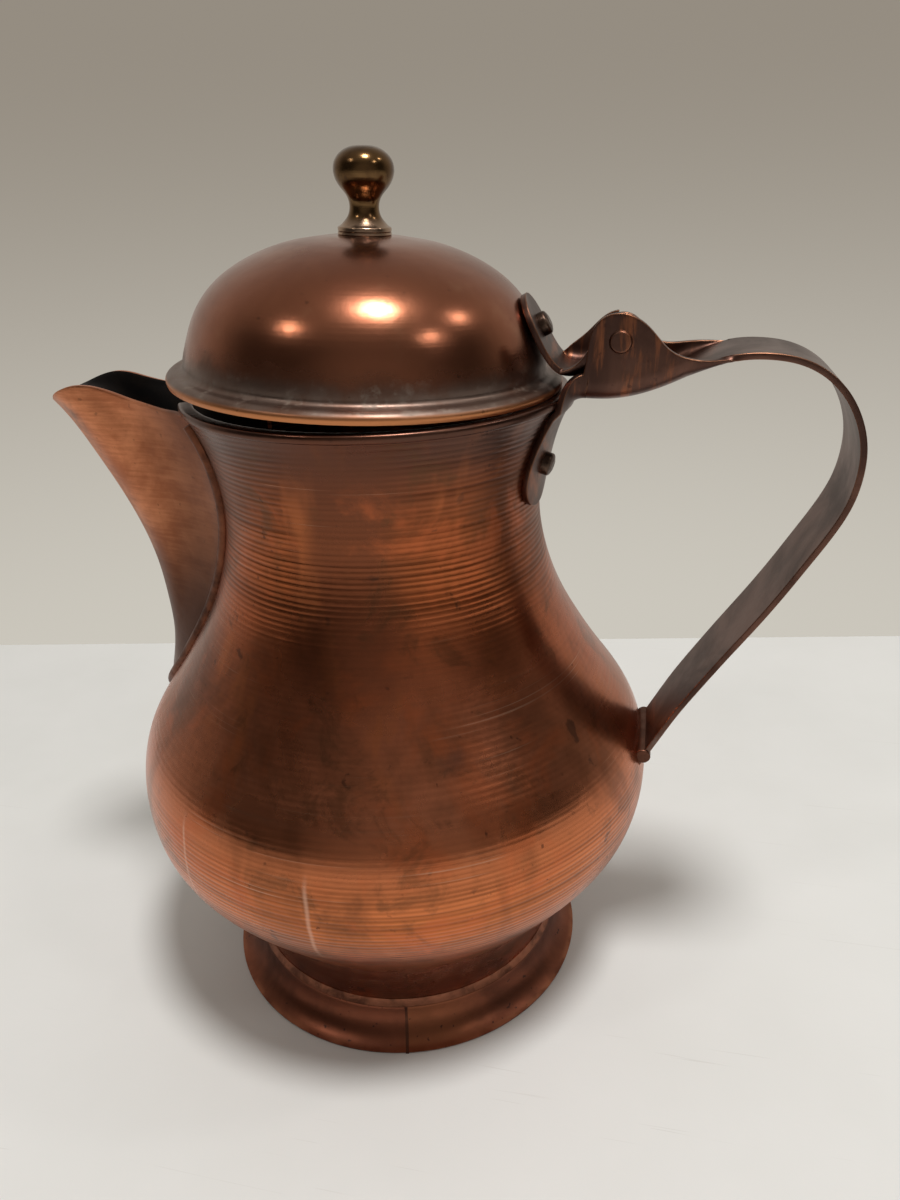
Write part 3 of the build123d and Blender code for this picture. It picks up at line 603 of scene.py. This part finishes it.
def body_copper():
    """Spun copper with lathe ridges on the neck and low on the belly, and an uneven patina."""
    p = Paint("body_copper")
    angle = p.math('ARCTAN2', p.y, p.x)
    # copper tone by height: the pale pinkish stop at 31 mm is a painted highlight low on the belly, and the
    # darkest stops just below the rim are painted shade under the lid
    tone = p.by_height(10, 194, [
        (12, (0.30, 0.115, 0.065)), (24, (0.40, 0.165, 0.095)), (31, (0.50, 0.22, 0.14)),
        (38, (0.44, 0.15, 0.065)), (50, (0.42, 0.12, 0.038)), (70, (0.46, 0.14, 0.045)),
        (86, (0.52, 0.165, 0.068)), (98, (0.52, 0.18, 0.090)), (120, (0.52, 0.165, 0.080)),
        (138, (0.44, 0.125, 0.050)), (150, (0.36, 0.10, 0.034)), (166, (0.25, 0.073, 0.027)),
        (178, (0.15, 0.050, 0.024)), (186, (0.090, 0.042, 0.029)), (192, (0.105, 0.052, 0.038))])
    broad = p.noise((5, 5, 330), 3, 0.6, at=1.7)
    fine = p.noise((9, 9, 1700), 2, 0.6, at=4.1)
    # spinning ridges, a millimetre and a half apart
    waver = p.times(p.noise((12, 12, 90), 3, 0.6, at=21.0), 1.6 * MM)
    turns = p.times(p.plus(p.z, waver), TURN / (1.5 * MM))
    ridge = p.times(p.plus(p.math('SINE', turns), 1.0), 0.5)
    # how strong the lathe rings stand, by height
    low_rings = p.times(p.level(30, 42), p.level(92, 78))
    neck_rings = p.times(p.level(128, 150), p.level(192, 180, 0.45, 1.0))
    # dark upright band on the neck towards the camera, a painted reflection of the dark room, with rings
    # brighter on both sides of it
    ragged = p.times(p.around(p.noise((30, 30, 14), 4, 0.6, 0.5, at=13.0)), 0.5)
    aside = p.math('ABSOLUTE', p.plus(angle, p.plus(math.radians(86), ragged)))
    dark_reflection_band = p.times(p.fit(aside, math.radians(26), math.radians(8)), p.level(105, 140))
    neck_rings = p.times(neck_rings, p.math('SUBTRACT', 1.0, p.times(dark_reflection_band, 0.6)))
    strength = p.plus(p.times(low_rings, 0.9), p.times(neck_rings, 1.05))
    strength = p.math('MAXIMUM', strength, 0.16)
    ring = p.plus(p.times(p.fit(broad, 0.34, 0.62), 0.38), p.times(fine, 0.24))
    ring = p.plus(ring, p.times(ridge, 0.38))
    ring_tone = p.plus(1.0, p.times(strength, p.times(p.around(ring), 1.15)))
    colour = p.shade(tone, ring_tone)
    # painted reflection: the dark band's colour laid over the neck
    colour = p.cover(colour, dark_reflection_band, 0.6, (0.13, 0.05, 0.03))
    # painted shade on the shoulder below the spout, and a darker middle of the low band
    spout_shade_on_belly = p.times(p.spot((-52.0, -42.0, 118.0), 42, 0.3, 14), p.level(84, 96))
    colour = p.cover(colour, spout_shade_on_belly, 0.72, (0.085, 0.030, 0.015))
    middle = p.spot((14.0, -74.0, 52.0), 34, 0.25, 18)
    colour = p.cover(colour, middle, 0.42, (0.13, 0.036, 0.014))
    # patina in clouds and in upright smears
    cloud = p.noise(24, 5, 0.6, 0.4, at=2.0)
    smear = p.noise((46, 46, 9), 4, 0.6, 0.3, at=7.0)
    colour = p.cover(colour, p.fit(cloud, 0.50, 0.66), 0.55, (0.125, 0.052, 0.027))
    colour = p.cover(colour, p.fit(smear, 0.52, 0.68), 0.40, (0.17, 0.060, 0.026))
    bare = p.times(p.fit(smear, 0.46, 0.32), p.level(186, 170, 0.1, 0.45))
    colour = p.mix(bare, colour, (0.54, 0.165, 0.058))
    below_rim = p.level(182, 168)
    ruddy = p.times(p.fit(p.noise(38, 5, 0.62, 0.5, at=15.0), 0.50, 0.66), below_rim)
    colour = p.cover(colour, ruddy, 0.50, (0.56, 0.14, 0.05))
    olive = p.fit(p.noise(64, 6, 0.68, 0.6, at=17.0), 0.54, 0.66)
    colour = p.cover(colour, olive, 0.42, (0.11, 0.055, 0.028))
    blots = p.times(p.fit(p.noise(150, 4, 0.55, 0.3, at=19.0), 0.64, 0.70),
                    p.fit(p.noise(26, 2, at=23.0), 0.46, 0.60))
    colour = p.cover(colour, blots, 0.6, (0.065, 0.034, 0.024))
    # small dark spots and specks
    specks = p.times(p.fit(p.noise(430, 2, 0.5, at=3.0), 0.68, 0.76),
                     p.fit(p.noise(30, 2, at=5.0), 0.42, 0.6))
    colour = p.cover(colour, specks, 0.6, (0.05, 0.022, 0.016))
    # stain on the belly and two pale upright marks low on it
    stain = p.spot((32.1, -56.6, 110.3), 11, 0.2, 9)
    colour = p.cover(colour, stain, 0.55, (0.085, 0.06, 0.05))
    marks = None
    for place, width, low, high in ((-92.0, 0.7, 52, 88), (-122.0, 0.6, 58, 92)):
        bent = p.times(p.around(p.noise((1, 1, 60), 2, at=place)), 0.03)
        off = p.math('ABSOLUTE', p.plus(p.math('SUBTRACT', angle, math.radians(place)), bent))
        mark = p.times(p.fit(off, math.radians(width), 0.0),
                      p.times(p.level(low, low + 8), p.level(high, high - 8)))
        marks = mark if marks is None else p.math('MAXIMUM', marks, mark)
    colour = p.cover(colour, marks, 0.55, (0.72, 0.42, 0.30))
    # fine level scratches on the smooth belly
    scratch = p.times(p.fit(p.noise((14, 14, 2600), 1, 0.5, at=11.0), 0.66, 0.72),
                     p.fit(p.noise((22, 22, 60), 3, at=12.0), 0.50, 0.62))
    colour = p.cover(colour, scratch, 0.5, (0.60, 0.33, 0.22))
    rough = p.plus(p.fit(cloud, 0.35, 0.7, 0.19, 0.29), p.times(strength, 0.06))
    rough = p.plus(rough, p.times(p.noise(300, 4), 0.06))
    p.bump((p.times(ring, strength), 0.17), (p.noise(60, 3, at=9.0), 0.22), (p.noise(700, 3), 0.012))
    return p.finish(colour, rough)


def lid_copper():
    """Smoother copper, tarnished and dusty towards the bead."""
    p = Paint("lid_copper")
    cloud = p.noise(30, 5, 0.6, 0.5, at=1.0)
    tone = p.mix(p.fit(cloud, 0.35, 0.68), (0.33, 0.125, 0.068), (0.25, 0.090, 0.050))
    tone = p.cover(tone, p.fit(p.noise(90, 5, 0.6, at=4.0), 0.55, 0.72), 0.4, (0.40, 0.19, 0.11))
    # tarnish that gathers towards the edge, with pale deposits in the corner of the bead
    uneven = p.times(p.around(p.noise(55, 5, 0.65, at=6.0)), 20 * MM)
    low = p.fit(p.plus(p.z, uneven), 14 * MM, 4 * MM)
    tone = p.cover(tone, low, 0.75, (0.075, 0.042, 0.030))
    dust = p.times(p.fit(p.noise(160, 6, 0.7, at=8.0), 0.50, 0.68),
                  p.times(p.level(10.5, 3.5), p.level(1.2, 2.6)))
    tone = p.cover(tone, dust, 0.8, (0.34, 0.30, 0.25))
    bloom = p.times(p.level(9.5, 4.5),
                    p.fit(p.noise(70, 5, 0.65, 0.3, at=16.0), 0.30, 0.62, 0.2, 0.75))
    tone = p.mix(bloom, tone, (0.215, 0.165, 0.140))
    seat = p.new("ShaderNodeVectorMath", operation='LENGTH')
    flat = p.new("ShaderNodeCombineXYZ")
    p.link(p.x, flat.inputs[0])
    p.link(p.y, flat.inputs[1])
    p.link(flat.outputs[0], seat.inputs[0])
    near_knob = p.times(p.fit(seat.outputs["Value"], 13 * MM, 7.5 * MM), p.fit(p.noise(200, 4), 0.35, 0.6))
    tone = p.cover(tone, near_knob, 0.6, (0.36, 0.27, 0.21))
    # painted highlight: a bright line on the underside of the bead
    tone = p.mix(p.level(2.2, 1.2), tone, (0.55, 0.22, 0.09))
    # hairline wrinkles and specks
    specks = p.fit(p.noise(520, 2, 0.5, at=3.0), 0.70, 0.78)
    tone = p.cover(tone, specks, 0.45, (0.06, 0.03, 0.02))
    rough = p.plus(p.fit(cloud, 0.3, 0.7, 0.20, 0.28), p.times(low, 0.18))
    rough = p.plus(rough, p.times(dust, 0.25))
    p.bump((p.noise((14, 14, 1200), 2, at=2.0), 0.02), (p.noise(45, 3, at=9.0), 0.20),
           (p.noise(900, 3), 0.012))
    return p.finish(tone, rough)


def spout_copper():
    """Bright at the tip, with painted shade where it meets the neck and on its low part by the belly."""
    p = Paint("spout_copper")
    brushed = p.noise((60, 60, 900), 3, 0.6, at=1.0)
    cloud = p.noise(34, 5, 0.6, 0.4, at=3.0)
    mottle = p.noise((70, 70, 95), 5, 0.62, 0.3, at=6.0)
    rubbed = p.plus(p.times(brushed, 0.35), p.times(mottle, 0.65))
    tone = p.mix(p.fit(rubbed, 0.38, 0.64), (0.46, 0.155, 0.070), (0.72, 0.28, 0.135))
    tone = p.cover(tone, p.fit(cloud, 0.52, 0.72), 0.45, (0.28, 0.10, 0.05))
    # painted shade where the spout runs into the neck
    near = p.fit(p.x, -78 * MM, -52 * MM)
    tone = p.cover(tone, near, 0.65, (0.085, 0.031, 0.016))
    # painted shade on the spout's low part, near the belly
    low = p.level(166, 122)
    tone = p.cover(tone, low, 0.88, (0.055, 0.019, 0.010))
    blot = p.spot((-93.0, -12.0, 183.0), 15, 0.45, 14)
    tone = p.cover(tone, blot, 0.85, (0.06, 0.034, 0.028))
    specks = p.fit(p.noise(420, 2, 0.5, at=5.0), 0.68, 0.76)
    tone = p.cover(tone, specks, 0.4, (0.09, 0.04, 0.025))
    rough = p.plus(p.fit(cloud, 0.3, 0.7, 0.30, 0.42), p.times(brushed, 0.06))
    p.bump((brushed, 0.02), (mottle, 0.10), (p.noise(50, 3, at=8.0), 0.25))
    return p.finish(tone, rough)


def painted_shade_inside():
    """Near-black inner side of the spout: painted shade inside the jug."""
    p = Paint("painted_shade_inside", 0.6)
    cloud = p.noise(90, 5, 0.6, 0.4, at=2.0)
    tone = p.mix(p.fit(cloud, 0.35, 0.66), (0.022, 0.016, 0.013), (0.006, 0.005, 0.005))
    p.bump((p.noise(200, 4), 0.08))
    return p.finish(tone, p.fit(cloud, 0.3, 0.7, 0.45, 0.62))


def foot_copper():
    """Dark copper with a rubbed lower edge."""
    p = Paint("foot_copper")
    angle = p.math('ARCTAN2', p.y, p.x)
    cloud = p.noise(40, 5, 0.6, 0.4, at=2.0)
    tone = p.mix(p.fit(cloud, 0.35, 0.68), (0.22, 0.072, 0.040), (0.11, 0.040, 0.024))
    # lighter stretch to the right of the seam
    patch = p.times(p.fit(angle, math.radians(seam_angle - 1), math.radians(seam_angle + 1)),
                   p.fit(angle, math.radians(seam_angle + 34), math.radians(seam_angle + 8)))
    tone = p.cover(tone, patch, 0.5, (0.28, 0.10, 0.045))
    edge = p.times(p.level(1.6, 0.6), p.fit(p.noise(150, 3), 0.35, 0.6))
    tone = p.cover(tone, edge, 0.5, (0.42, 0.17, 0.09))
    tone = p.mix(p.fit(p.noise(500, 2, at=5.0), 0.66, 0.76), tone, (0.05, 0.025, 0.02))
    rough = p.fit(cloud, 0.3, 0.7, 0.30, 0.45)
    p.bump((p.noise((10, 10, 900), 2), 0.02), (p.noise(80, 3), 0.18))
    return p.finish(tone, rough)


def strap_copper(name, bright):
    """Tarnished strap, with a painted highlight along its edges."""
    p = Paint(name)
    cloud = p.noise(36, 5, 0.6, 0.5, at=1.0)
    tone = p.mix(p.fit(cloud, 0.35, 0.66), (0.145 * bright, 0.072 * bright, 0.052 * bright),
                 (0.068 * bright, 0.036 * bright, 0.028 * bright))
    on_ear = p.fit(p.x, 90 * MM, 76 * MM)
    streak = p.times(p.fit(p.noise((300, 30, 46), 5, 0.65, 0.3, at=5.0), 0.50, 0.66), on_ear)
    tone = p.cover(tone, streak, 0.55, (0.36, 0.125, 0.055))
    grey = p.times(p.spot((82.0, -8.0, 90.0), 15, 0.2, 12), 0.6)
    tone = p.mix(grey, tone, (0.20, 0.18, 0.165))
    tone = p.cover(tone, p.fit(p.noise(480, 2, at=7.0), 0.66, 0.76), 0.5, (0.04, 0.022, 0.018))
    # painted highlight: lighter colour along the rounded edges, where the bevelled normal turns from the flat
    # one
    soft = p.new("ShaderNodeBevel", samples=6)
    soft.inputs["Radius"].default_value = 0.5 * MM
    sharp = p.new("ShaderNodeNewGeometry")
    apart = p.new("ShaderNodeVectorMath", operation='DOT_PRODUCT')
    p.link(soft.outputs[0], apart.inputs[0])
    p.link(sharp.outputs["Normal"], apart.inputs[1])
    painted_edge_highlight = p.fit(apart.outputs["Value"], 0.985, 0.86)
    tone = p.cover(tone, painted_edge_highlight, 0.55, (0.42 * bright, 0.19 * bright, 0.10 * bright))
    rough = p.plus(p.fit(cloud, 0.3, 0.7, 0.29, 0.42), p.times(grey, 0.2))
    first = p.new("ShaderNodeBump")
    first.inputs["Distance"].default_value = 0.20 * MM
    p.link(p.noise(70, 4, at=3.0), first.inputs["Height"])
    p.link(soft.outputs[0], first.inputs["Normal"])
    fine = p.new("ShaderNodeBump")
    fine.inputs["Distance"].default_value = 0.015 * MM
    p.link(p.noise((500, 60, 500), 3), fine.inputs["Height"])
    p.link(first.outputs[0], fine.inputs["Normal"])
    p.link(fine.outputs[0], p.bsdf.inputs["Normal"])
    return p.finish(tone, rough)


def knob_brass():
    """Dark brass, paler round its base."""
    p = Paint("knob_brass")
    cloud = p.noise(110, 5, 0.6, 0.4, at=1.0)
    tone = p.mix(p.fit(cloud, 0.35, 0.68), (0.17, 0.095, 0.040), (0.075, 0.038, 0.018))
    foot = p.level(41, 38.8)
    tone = p.cover(tone, foot, 0.8, (0.44, 0.30, 0.21))
    tone = p.mix(p.fit(p.noise(700, 2, at=5.0), 0.66, 0.76), tone, (0.05, 0.03, 0.02))
    rough = p.fit(cloud, 0.3, 0.7, 0.16, 0.27)
    p.bump((p.noise((20, 20, 2400), 2), 0.02), (p.noise(160, 3), 0.05))
    return p.finish(tone, rough)


def rivet_metal():
    """Blunt hammered heads."""
    p = Paint("rivet_copper")
    cloud = p.noise(260, 5, 0.65, 0.4, at=1.0)
    tone = p.mix(p.fit(cloud, 0.35, 0.66), (0.13, 0.085, 0.062), (0.055, 0.033, 0.025))
    tone = p.cover(tone, p.fit(p.noise(900, 3, at=4.0), 0.58, 0.7), 0.4, (0.28, 0.20, 0.16))
    p.bump((p.noise(420, 4), 0.12))
    return p.finish(tone, p.fit(cloud, 0.3, 0.7, 0.30, 0.46))


def soft_solder(name, light, dark):
    """Tarnished solder that has taken the copper's tone."""
    p = Paint(name, 0.95)
    cloud = p.noise(190, 5, 0.65, 0.4, at=1.0)
    tone = p.mix(p.fit(cloud, 0.35, 0.66), light, dark)
    brighter = tuple(1.3 * c for c in light)
    tone = p.cover(tone, p.fit(p.noise(60, 4, at=4.0), 0.48, 0.62), 0.6, brighter)
    p.bump((p.noise(300, 4), 0.2))
    return p.finish(tone, p.fit(cloud, 0.3, 0.7, 0.36, 0.55))


def wear(obj, *materials):
    obj.data.materials.clear()
    for m in materials:
        obj.data.materials.append(m)


straps = strap_copper("strap_copper", 1.0)
rivets = rivet_metal()
coat = body_copper()
wear(build_body(), coat)
wear(build_hem(), coat)
wear(build_foot(), foot_copper())
wear(build_dome(), lid_copper())
brass = knob_brass()
wear(build_knob(), brass)
wear(build_spout(), spout_copper(), painted_shade_inside())
wear(build_handle(), straps)
wear(build_leaf(), strap_copper("leaf_copper", 1.15))
wear(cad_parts["neck_rivet"], rivets)
wear(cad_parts["lid_rivet"], rivets)
wear(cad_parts["hinge_pin"], straps)
wear(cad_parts["knob_washer"], brass)
for part, name, light, dark in (
        ("foot_seam", "seam_solder", (0.10, 0.04, 0.024), (0.05, 0.02, 0.014)),
        ("foot_solder", "foot_joint", (0.30, 0.115, 0.065), (0.13, 0.05, 0.03)),
        ("spout_solder", "spout_joint", (0.15, 0.052, 0.026), (0.08, 0.030, 0.017)),
        ("handle_solder", "handle_joint", (0.13, 0.055, 0.034), (0.07, 0.032, 0.022))):
    wear(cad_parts[part], soft_solder(name, light, dark))

# camera at the photograph's place: heading, pitch, roll and turn of the part, in degrees
IMAGE_W, IMAGE_H = 900, 1200
pan, pitch, roll, az = map(math.radians, (4.23, 25.02, -1.77, 17.0))
turn = Matrix.Rotation(az, 3, 'Z')
ahead = turn @ Vector((math.sin(pan) * math.cos(pitch), math.cos(pan) * math.cos(pitch), -math.sin(pitch)))
level = turn @ Vector((math.cos(pan), -math.sin(pan), 0))
over = level.cross(ahead)
right = math.cos(roll) * level + math.sin(roll) * over
up = -math.sin(roll) * level + math.cos(roll) * over
eye = Vector((0.07435, -0.2432, 0.2447))
lens_mm, sensor_mm = 27.06, 36.0
camera = bpy.data.objects.new("camera", bpy.data.cameras.new("camera"))
camera.matrix_world = Matrix.Translation(eye) @ Matrix((right, up, -ahead)).transposed().to_4x4()
camera.data.lens = lens_mm
camera.data.sensor_width = sensor_mm
camera.data.clip_start = 0.01
bpy.context.scene.collection.objects.link(camera)
bpy.context.scene.camera = camera


def on_table(px, py):
    """Place on the table that a pixel of the photograph shows."""
    focal = lens_mm / sensor_mm * IMAGE_H
    ray = ahead * focal + right * (px - IMAGE_W / 2) - up * (py - IMAGE_H / 2)
    return eye - ray * (eye.z / ray.z)


# white table whose back edge is where the photograph shows the wall begin
edge_left_px, edge_right_px = (0, 645), (IMAGE_W, 636)
table_past, table_depth = 3.0, 2.2
left, away = on_table(*edge_left_px), on_table(*edge_right_px)
along = (away - left).normalized()
front = Vector((along.y, -along.x, 0)) * table_depth
left, away = left - along * table_past, away + along * table_past
corners = [left, away, away + front, left + front]
table = bpy.data.meshes.new("table")
table.from_pydata([tuple(c) for c in corners], [], [(0, 3, 2, 1)])
floor = bpy.data.objects.new("table", table)
bpy.context.scene.collection.objects.link(floor)


def table_white():
    """Painted board with faint hairline scratches."""
    p = Paint("table_white", 0.0)
    cloud = p.noise(9, 4, 0.6, at=1.0)
    tone = p.mix(p.fit(cloud, 0.3, 0.7), (0.79, 0.805, 0.80), (0.75, 0.765, 0.755))
    hair = p.times(p.fit(p.noise((12, 700, 1), 2, 0.5, 1.5, at=3.0), 0.70, 0.74),
                   p.fit(p.noise(14, 3, at=6.0), 0.5, 0.6))
    tone = p.cover(tone, hair, 0.25, (0.50, 0.49, 0.46))
    p.bump((p.noise(160, 4), 0.05))
    return p.finish(tone, p.fit(cloud, 0.3, 0.7, 0.42, 0.55))


wear(floor, table_white())


def lamp(name, azimuth, elevation, distance, size, power, colour=(1.0, 0.96, 0.91)):
    """Soft lamp in a direction from the jug, from +X, in degrees and metres."""
    a, e = math.radians(azimuth), math.radians(elevation)
    aim = Vector((0, 0, 0.15))
    way = Vector((math.cos(e) * math.cos(a), math.cos(e) * math.sin(a), math.sin(e)))
    light = bpy.data.lights.new(name, 'AREA')
    light.shape, light.size, light.energy, light.color = 'DISK', size, power, colour
    obj = bpy.data.objects.new(name, light)
    aimed = way.to_track_quat('Z', 'Y').to_matrix().to_4x4()
    obj.matrix_world = Matrix.Translation(aim + way * distance) @ aimed
    bpy.context.scene.collection.objects.link(obj)


lamp("key", -46, 75, 1.5, 0.34, 16.5, (1.0, 0.97, 0.94))
lamp("side", -134, 48, 1.7, 0.20, 1.5)
lamp("back", 13, 46, 1.8, 0.18, 1.7)
lamp("knob_side", -23, 40, 2.0, 0.25, 2)

# room: a pale wall behind, a dark side towards the camera
world = bpy.data.worlds.new("room")
bpy.context.scene.world = world
world.use_nodes = True
tree = world.node_tree


def node(kind, **props):
    made = tree.nodes.new(kind)
    for k, v in props.items():
        setattr(made, k, v)
    return made


def sweep_of(vector, low, high):
    """0 to 1 as the room's direction turns from low to high along a vector."""
    dot = node("ShaderNodeVectorMath", operation='DOT_PRODUCT')
    tree.links.new(direction, dot.inputs[0])
    dot.inputs[1].default_value = vector
    fit = node("ShaderNodeMapRange", interpolation_type='SMOOTHSTEP')
    tree.links.new(dot.outputs["Value"], fit.inputs[0])
    fit.inputs[1].default_value, fit.inputs[2].default_value = low, high
    return fit.outputs[0]


def blend(fac, a, b):
    made = node("ShaderNodeMix", data_type='RGBA')
    for k, v in ((0, fac), (6, a), (7, b)):
        if isinstance(v, tuple):
            made.inputs[k].default_value = (*v, 1)
        else:
            tree.links.new(v, made.inputs[k])
    return made.outputs[2]


direction = node("ShaderNodeTexCoord").outputs["Generated"]
heading = Vector((ahead.x, ahead.y, 0)).normalized()
wall_seen = blend(sweep_of((0, 0, 1), -0.46, 0.14), (0.60, 0.57, 0.505), (0.30, 0.265, 0.22))
room = blend(sweep_of(tuple(heading), -0.25, 0.55), (0.055, 0.05, 0.045), (0.50, 0.47, 0.42))
# soft glow behind the camera, a little to its side
glow = (Vector((0.16, 0, -0.06)) - heading).normalized()
room = blend(sweep_of(tuple(glow), 0.55, 0.98), room, (0.25, 0.23, 0.21))
room = blend(sweep_of((0, 0, 1), 0.45, 0.95), room, (0.34, 0.32, 0.29))
is_seen = node("ShaderNodeLightPath").outputs["Is Camera Ray"]
backdrop = tree.nodes["Background"]
tree.links.new(blend(is_seen, room, wall_seen), backdrop.inputs["Color"])
backdrop.inputs["Strength"].default_value = 1.0

bpy.context.scene.view_settings.view_transform = 'Standard'
